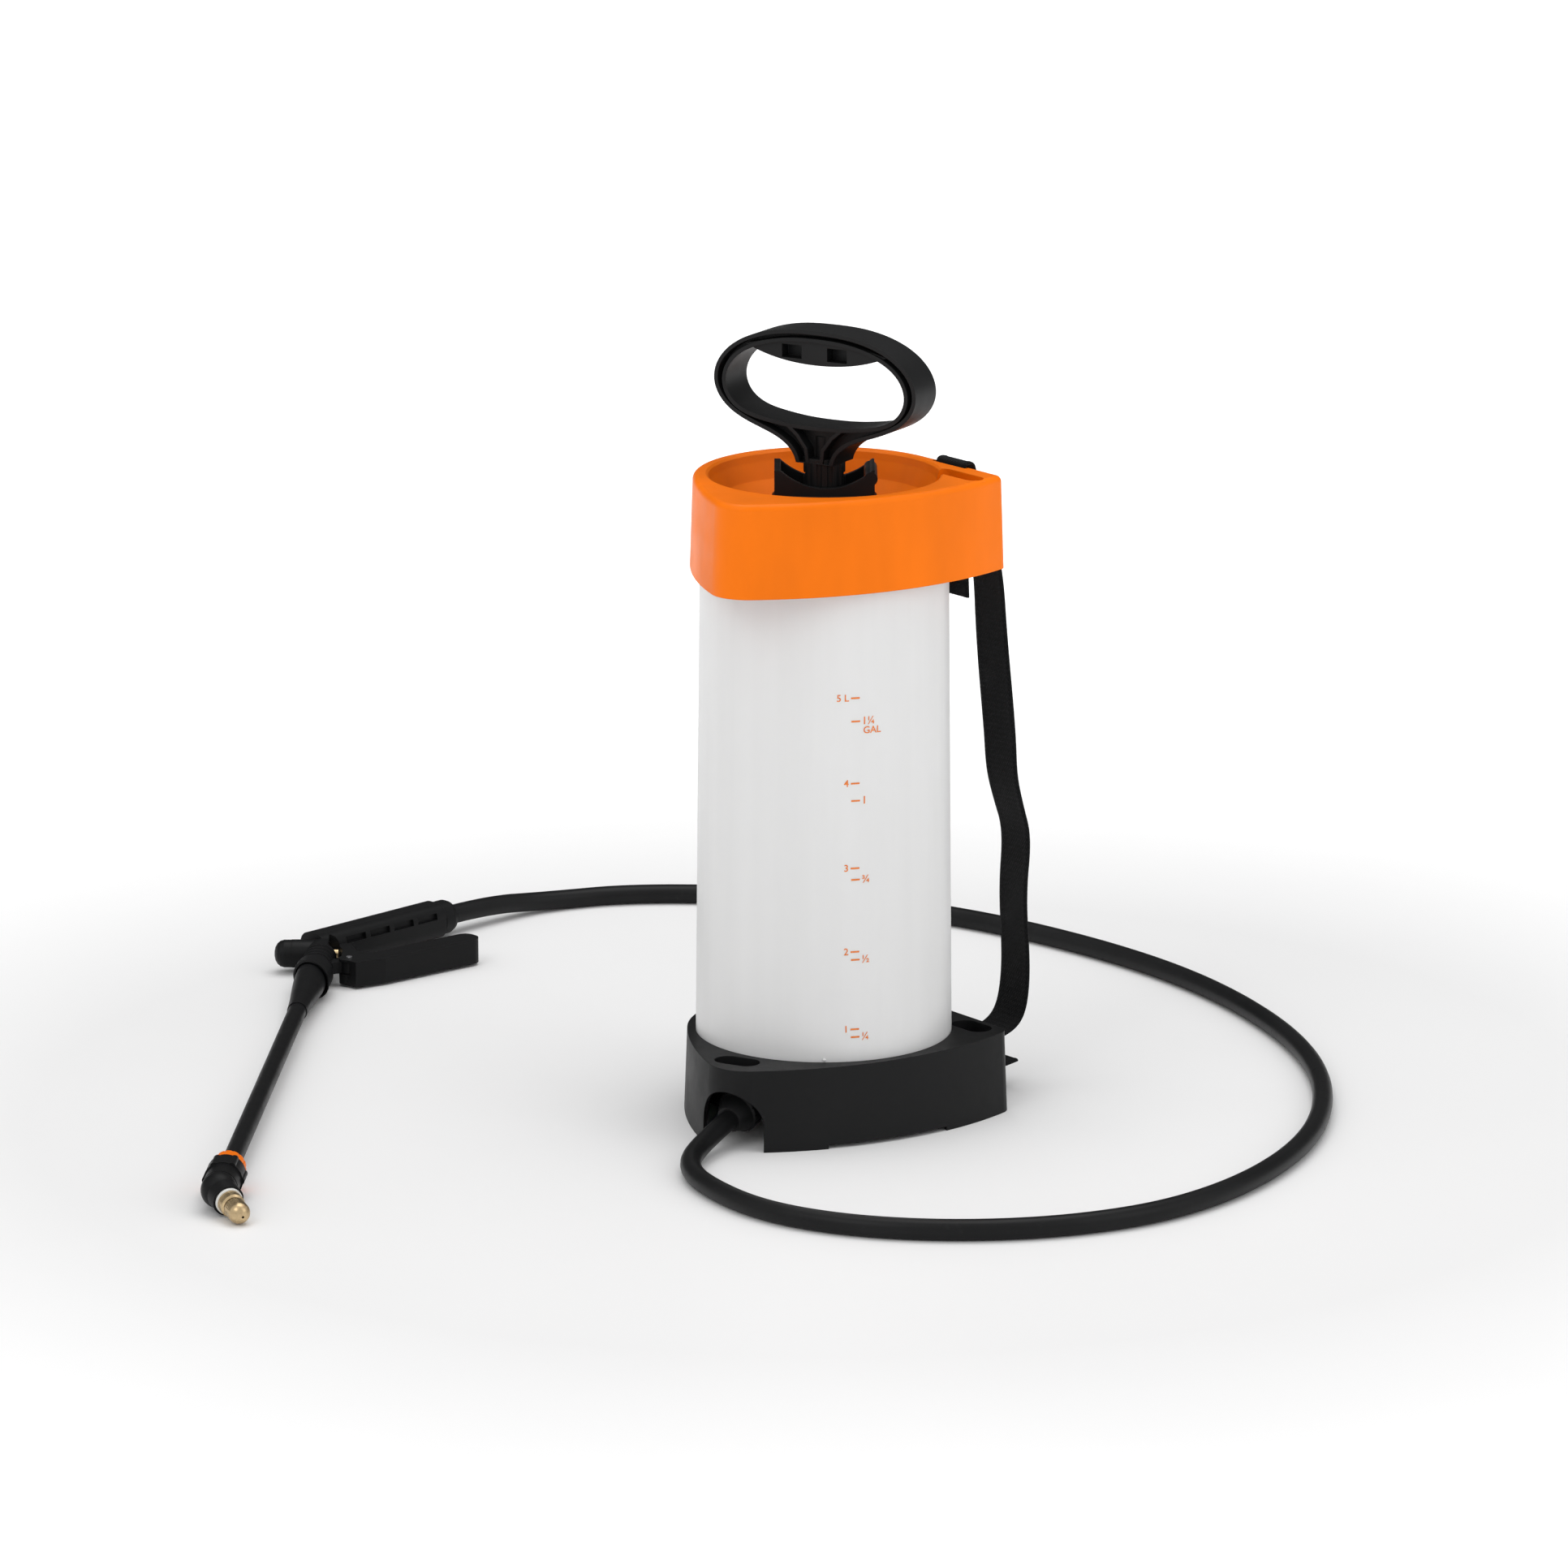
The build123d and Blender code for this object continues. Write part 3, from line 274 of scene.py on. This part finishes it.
HOSE = hose_material()
WEBBING = webbing_material()
INK = printed_material()

FINISH = {
    "tank": TANK, "funnel_collar": ORANGE, "nozzle_ring": ORANGE, "relief_body": ORANGE, "relief_cap": ORANGE,
    "relief_knob": ORANGE, "nozzle_body": BRASS, "nozzle_tip": BRASS, "swirl_insert": BRASS,
    "valve_spindle": BRASS, "handle_pin": STEEL, "lever_pin": STEEL, "relief_spring": STEEL,
    "valve_spring": STEEL, "nozzle_gasket": WHITE, "pump_barrel": WHITE, "outlet_strainer": WHITE,
    "grip_filter": WHITE, "gun_body": GUN_BLACK, "lever": GUN_BLACK, "valve_cap": GUN_BLACK,
    "hose_coupling": GUN_BLACK, "lance_nut": GUN_BLACK, "lance_tube": GUN_BLACK, "nozzle_elbow": GUN_BLACK,
}
RUBBER = ("funnel_seal", "outlet_gasket", "pump_gasket", "rod_wiper", "check_valve", "piston_seal",
          "relief_seal", "valve_seat", "spindle_ring", "valve_seal", "lance_ring")
for name, node in NODES.items():
    material = SEAL if name in RUBBER else FINISH.get(name, BLACK)
    for holder in node.material_slots:
        holder.link = "OBJECT"
        holder.material = material

# ---------------------------------------------------------------- hose
HOSE_DIAMETER = 0.013
REST = 0.0066
HOSE_ROUTE = [
    (-0.05932, -0.08794, 0.01701), (-0.07660, -0.11357, 0.00873), (-0.0845, -0.150, REST),
    (-0.074, -0.190, REST), (-0.040, -0.242, REST), (0.012, -0.273, REST), (0.078, -0.284, REST),
    (0.147, -0.274, REST), (0.212, -0.240, REST), (0.268, -0.172, REST), (0.307, -0.078, REST),
    (0.319, 0.030, REST), (0.304, 0.138, REST), (0.257, 0.256, REST), (0.186, 0.352, REST),
    (0.090, 0.437, REST), (-0.022, 0.484, REST), (-0.126, 0.493, REST), (-0.190, 0.470, REST),
    (-0.22660, 0.43683, 0.013), (-0.253, 0.4095, 0.013),
]
hose_data = bpy.data.curves.new("hose_line", "CURVE")
hose_data.dimensions = "3D"
hose_spline = hose_data.splines.new("NURBS")
hose_spline.points.add(len(HOSE_ROUTE) - 1)
for point, place in zip(hose_spline.points, HOSE_ROUTE):
    point.co = (*place, 1)
hose_spline.order_u = 3
hose_spline.use_endpoint_u = True
hose_spline.resolution_u = 12
hose_data.bevel_depth = HOSE_DIAMETER / 2
hose_data.bevel_resolution = 8
hose_data.use_fill_caps = True
hose_data.materials.append(HOSE)
hose = bpy.data.objects.new("spray_hose", hose_data)
scene.collection.objects.link(hose)
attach(hose, "sprayer")
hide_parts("hose")


# ---------------------------------------------------------------- strap
BACK_WALL = math.radians(39)
OUT = Vector((math.cos(BACK_WALL), math.sin(BACK_WALL), 0))
ALONG = Vector((math.sin(BACK_WALL), -math.cos(BACK_WALL), 0))
STRAP_CENTRE = 0.030
STRAP_WIDTH = 0.028
STRAP_THICK = 0.0016
STRAP_STEPS = 8
STRAP_RIBS = 14
EDGE_ROUND = 0.0006
SELVEDGE = 1.35
HELD_TOP = 0.12
HELD_BOTH = 0.2
SWAY = (0.0025, 26)
TWIST = (0.10, 17, 0.6)
STRAP_ROUTE = [
    (0.0806, 0.325), (0.0794, 0.350), (0.077, 0.372), (0.077, 0.392), (0.077, 0.406), (0.0776, 0.4106),
    (0.0842, 0.4106), (0.086, 0.404), (0.096, 0.374), (0.109, 0.340), (0.113, 0.290), (0.117, 0.230),
    (0.118, 0.205), (0.124, 0.185), (0.133, 0.162), (0.131, 0.125), (0.134, 0.085), (0.133, 0.062),
    (0.129, 0.046), (0.121, 0.038), (0.106, 0.034), (0.094, 0.0322), (0.0924, 0.029), (0.0924, 0.024),
    (0.097, 0.0198), (0.110, 0.015), (0.124, 0.017),
]


def smooth_line(points, steps):
    """Points along the quadratic B-spline of a control polygon, from end to end."""
    padded = [points[0]] + [Vector(p) for p in points] + [points[-1]]
    padded = [Vector(p) for p in padded]
    line = [padded[0].copy()]
    for a, b, c in zip(padded, padded[1:], padded[2:]):
        start, end = (a + b) / 2, (b + c) / 2
        for step in range(1, steps + 1):
            t = step / steps
            line.append(start * (1 - t) ** 2 + b * 2 * t * (1 - t) + end * t ** 2)
    line.append(padded[-1].copy())
    clean = [line[0]]
    for point in line[1:]:
        if (point - clean[-1]).length > 1e-5:
            clean.append(point)
    return clean


def strap_section():
    """Flattened cross-section of the strap, with rounded and slightly thicker selvedges."""
    half, thick = STRAP_WIDTH / 2, STRAP_THICK / 2
    top = []
    for k in range(STRAP_RIBS + 1):
        across = -half + EDGE_ROUND + (STRAP_WIDTH - 2 * EDGE_ROUND) * k / STRAP_RIBS
        edge = SELVEDGE if k in (0, 1, STRAP_RIBS - 1, STRAP_RIBS) else 1.0
        top.append((across, thick * edge * (0.8 if k in (0, STRAP_RIBS) else 1.0)))
    return top + [(half, 0.0)] + [(a, -b) for a, b in reversed(top)] + [(-half, 0.0)]


def make_strap():
    """Webbing swept down its route, with a slight sway and twist where it hangs free."""
    line = smooth_line([(d, z) for d, z in STRAP_ROUTE], STRAP_STEPS)
    outline = strap_section()
    bm = bmesh.new()
    weave = bm.loops.layers.uv.new("weave")
    rings, distance, total = [], 0.0, sum((b - a).length for a, b in zip(line, line[1:]))
    for index, here in enumerate(line):
        before, after = line[max(0, index - 1)], line[min(len(line) - 1, index + 1)]
        run = (after - before).normalized()
        if index:
            distance += (here - line[index - 1]).length
        side = Vector((run.y, -run.x))
        free = math.sin(math.pi * min(1.0, max(0.0, (distance - HELD_TOP) / (total - HELD_BOTH))))
        sway = SWAY[0] * free * math.sin(distance * SWAY[1])
        twist = TWIST[0] * free * math.sin(distance * TWIST[1] + TWIST[2])
        ring = []
        for across, rise in outline:
            lift = rise + across * math.sin(twist)
            d = here.x + side.x * lift
            z = here.y + side.y * lift
            along = STRAP_CENTRE + sway + across * math.cos(twist)
            ring.append((bm.verts.new(OUT * d + ALONG * along + Vector((0, 0, z))), distance, across))
        rings.append(ring)
    count = len(outline)
    for low, high in zip(rings, rings[1:]):
        for k in range(count):
            corners = [low[k], low[(k + 1) % count], high[(k + 1) % count], high[k]]
            face = bm.faces.new([c[0] for c in corners])
            face.smooth = True
            for loop, corner in zip(face.loops, corners):
                loop[weave].uv = (corner[1], corner[2])
    for ring in (rings[0], rings[-1]):
        face = bm.faces.new([c[0] for c in ring])
        for loop, corner in zip(face.loops, ring):
            loop[weave].uv = (corner[1], corner[2])
    bmesh.ops.recalc_face_normals(bm, faces=bm.faces)
    mesh = bpy.data.meshes.new("strap_webbing")
    bm.to_mesh(mesh)
    bm.free()
    mesh.materials.append(WEBBING)
    made = bpy.data.objects.new("strap_webbing", mesh)
    scene.collection.objects.link(made)
    return made, total


strap, strap_length = make_strap()
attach(strap, "sprayer")
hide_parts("strap")

# ---------------------------------------------------------------- relief valve's spring
SPRING_CENTRE = Vector((0.0, 0.0225, 0.0))
SPRING_LOW = 0.3926
SPRING_PITCH = 0.0022
SPRING_TURNS = 4
SPRING_RADIUS = 0.00235
SPRING_RISE = SPRING_PITCH / (2 * math.pi * SPRING_RADIUS)
WIRE_RADIUS = 0.00035


def make_spring():
    """Coil of round wire standing on the pump's relief valve axis."""
    turn_steps, wire_steps = 28, 10
    bm = bmesh.new()
    rings = []
    for step in range(SPRING_TURNS * turn_steps + 1):
        angle = 2 * math.pi * step / turn_steps
        outward = Vector((math.cos(angle), math.sin(angle), 0))
        run = Vector((-math.sin(angle), math.cos(angle), SPRING_RISE)).normalized()
        upward = run.cross(outward)
        centre = SPRING_CENTRE + SPRING_RADIUS * outward
        centre.z = SPRING_LOW + SPRING_PITCH * step / turn_steps
        rings.append([
            bm.verts.new(centre + WIRE_RADIUS * (math.cos(a) * outward + math.sin(a) * upward))
            for a in (2 * math.pi * k / wire_steps for k in range(wire_steps))
        ])
    for low, high in zip(rings, rings[1:]):
        for k in range(wire_steps):
            face = bm.faces.new((low[k], low[(k + 1) % wire_steps], high[(k + 1) % wire_steps], high[k]))
            face.smooth = True
    bm.faces.new(rings[0])
    bm.faces.new(rings[-1])
    bmesh.ops.recalc_face_normals(bm, faces=bm.faces)
    mesh = bpy.data.meshes.new("relief_coil")
    bm.to_mesh(mesh)
    bm.free()
    mesh.materials.append(STEEL)
    made = bpy.data.objects.new("relief_coil", mesh)
    scene.collection.objects.link(made)
    return made


relief_coil = make_spring()
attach(relief_coil, "pump")
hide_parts("relief_spring")
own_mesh(relief_coil)

# ---------------------------------------------------------------- printed volume scale on the tank
SCALE_X = 0.0190
PRINT_LIFT = 0.00012
TANK_FOOT = (0.0805, 0.054)
TANK_TOP = (0.0774, 0.358)


def tank_radius(z):
    """Outer radius of the tank's tapered wall at a height."""
    share = (z - TANK_FOOT[1]) / (TANK_TOP[1] - TANK_FOOT[1])
    return TANK_FOOT[0] + share * (TANK_TOP[0] - TANK_FOOT[0])


def on_tank(x, z):
    """Point just proud of the tank's front, at an arc distance x from its middle."""
    radius = tank_radius(z) + PRINT_LIFT
    turn = x / radius - math.pi / 2
    return Vector((radius * math.cos(turn), radius * math.sin(turn), z))


def print_flat(bm, outline_mesh, x, z):
    """Wrap flat geometry, drawn in its own x and y, onto the tank at (x, z)."""
    made = [bm.verts.new(on_tank(x + v.co.x, z + v.co.y)) for v in outline_mesh.vertices]
    for face in outline_mesh.polygons:
        bm.faces.new([made[i] for i in face.vertices])


def text_mesh(words, size, align):
    """Flat lettering of one label, as a mesh."""
    data = bpy.data.curves.new("label", "FONT")
    data.body = words
    data.size = size
    data.align_x = align
    data.align_y = "CENTER"
    data.resolution_u = 3
    data.offset = size * 0.012
    holder = bpy.data.objects.new("label", data)
    scene.collection.objects.link(holder)
    bpy.context.view_layer.update()
    flat = bpy.data.meshes.new_from_object(holder.evaluated_get(bpy.context.evaluated_depsgraph_get()))
    bpy.data.objects.remove(holder)
    return flat


def dash_mesh(width, height):
    """Flat dash, divided so that it follows the tank's curve."""
    flat = bpy.data.meshes.new("dash")
    steps = 4
    verts = []
    for k in range(steps + 1):
        x = -width / 2 + width * k / steps
        verts += [(x, -height / 2, 0), (x, height / 2, 0)]
    faces = [(2 * k, 2 * k + 2, 2 * k + 3, 2 * k + 1) for k in range(steps)]
    flat.from_pydata(verts, [], faces)
    return flat


LITRES = [(0.2832, "5 L"), (0.2293, "4"), (0.1755, "3"), (0.1222, "2"), (0.0726, "1")]
GALLONS = [(0.2685, "1¼"), (0.2183, "1"), (0.1682, "¾"), (0.1171, "½"), (0.0676, "¼")]
LITRE_SIZE = 0.0062
GALLON_SIZE = 0.0068
DASH = (0.0056, 0.0011)
LITRE_GAP = 0.0040
GALLON_GAP = 0.0042
UNIT_GAP = 0.0050
UNIT_DROP = 0.0060
GALLON_SHIFT = 0.0003
ink = bmesh.new()
for z, words in LITRES:
    print_flat(ink, dash_mesh(*DASH), SCALE_X, z)
    print_flat(ink, text_mesh(words, LITRE_SIZE, "RIGHT"), SCALE_X - LITRE_GAP, z)
for z, words in GALLONS:
    print_flat(ink, dash_mesh(*DASH), SCALE_X + GALLON_SHIFT, z)
    print_flat(ink, text_mesh(words, GALLON_SIZE, "LEFT"), SCALE_X + GALLON_GAP, z)
print_flat(ink, text_mesh("GAL", LITRE_SIZE, "LEFT"), SCALE_X + UNIT_GAP, GALLONS[0][0] - UNIT_DROP)
ink_mesh = bpy.data.meshes.new("volume_scale")
ink.to_mesh(ink_mesh)
ink.free()
ink_mesh.materials.append(INK)
volume_scale = bpy.data.objects.new("volume_scale", ink_mesh)
scene.collection.objects.link(volume_scale)
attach(volume_scale, "sprayer")

# Small moulding nub at the tank's foot, just above the base's edge
NUB_Z = 0.0535
NUB_RADIUS = 0.0011
nub_mesh = bpy.data.meshes.new("tank_nub")
nub_shape = bmesh.new()
bmesh.ops.create_uvsphere(nub_shape, u_segments=16, v_segments=10, radius=NUB_RADIUS)
for face in nub_shape.faces:
    face.smooth = True
nub_shape.to_mesh(nub_mesh)
nub_shape.free()
nub_mesh.materials.append(TANK)
nub = bpy.data.objects.new("tank_nub", nub_mesh)
nub.location = on_tank(0.0, NUB_Z)
scene.collection.objects.link(nub)
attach(nub, "sprayer")

# ---------------------------------------------------------------- floor and light
floor_mesh = bpy.data.meshes.new("floor")
REACH = 40
FLOOR_GLOW = (0.0, 0.62, 0.5, 1.5)
# The studio is bright in front and overhead, and dim behind the object
SKY_LEVEL = (0.1, 0.65, 0.8, 0.09)
floor_mesh.from_pydata(
    [(-REACH, -REACH, 0), (REACH, -REACH, 0), (REACH, REACH, 0), (-REACH, REACH, 0)], [], [(0, 1, 2, 3)])
floor = bpy.data.objects.new("floor", floor_mesh)
scene.collection.objects.link(floor)
floor_graph = Graph("floor_paper_glow")
paper = floor_graph.noise(3, 4, 0.5)
away = floor_graph.node("ShaderNodeVectorMath", operation="LENGTH")
floor_graph.link(floor_graph.where, away.inputs[0])
# Painted light: the floor glows, not at all within 0.5 m of the middle and up to strength 0.62 at 1.5 m, so
# the far floor reads white
glow = floor_graph.spread(away.outputs["Value"], *FLOOR_GLOW)
floor_graph.link(glow, floor_graph.shader.inputs["Emission Strength"])
floor_graph.shader.inputs["Emission Color"].default_value = (1, 1, 1, 1)
floor_mesh.materials.append(floor_graph.finish(
    floor_graph.mix(paper, (0.87, 0.87, 0.872), (0.89, 0.89, 0.89)),
    floor_graph.spread(paper, 0.5, 0.6), floor_graph.bump(floor_graph.noise(400), 0.05, 0.0001),
    Specular_IOR_Level=0.2))

world = bpy.data.worlds.new("studio")
world.use_nodes = True
sky = world.node_tree
sky_facing = sky.nodes.new("ShaderNodeSeparateXYZ")
sky.links.new(sky.nodes.new("ShaderNodeTexCoord").outputs["Generated"], sky_facing.inputs[0])
sky_level = sky.nodes.new("ShaderNodeMapRange")
sky.links.new(sky_facing.outputs["Y"], sky_level.inputs["Value"])
for slot, value in zip(("From Min", "From Max", "To Min", "To Max"), SKY_LEVEL):
    sky_level.inputs[slot].default_value = value
sky.nodes["Background"].inputs["Color"].default_value = (1, 1, 1, 1)
sky.links.new(sky_level.outputs["Result"], sky.nodes["Background"].inputs["Strength"])
scene.world = world


def soft_light(name, place, aim, size, power):
    """Rectangular area light at a place, aimed at a point."""
    data = bpy.data.lights.new(name, "AREA")
    data.shape = "RECTANGLE"
    data.size, data.size_y = size
    data.energy = power
    lamp = bpy.data.objects.new(name, data)
    lamp.location = place
    lamp.rotation_euler = (Vector(aim) - Vector(place)).to_track_quat("-Z", "Y").to_euler()
    scene.collection.objects.link(lamp)


soft_light("key", (-1.6, -1.9, 2.3), (0, 0, 0.2), (1.6, 1.6), 15)
soft_light("fill", (2.2, -1.2, 1.5), (0, 0, 0.2), (1.4, 1.8), 8)
soft_light("top", (0.1, 0.6, 2.6), (0, 0.1, 0), (2.2, 2.2), 30)
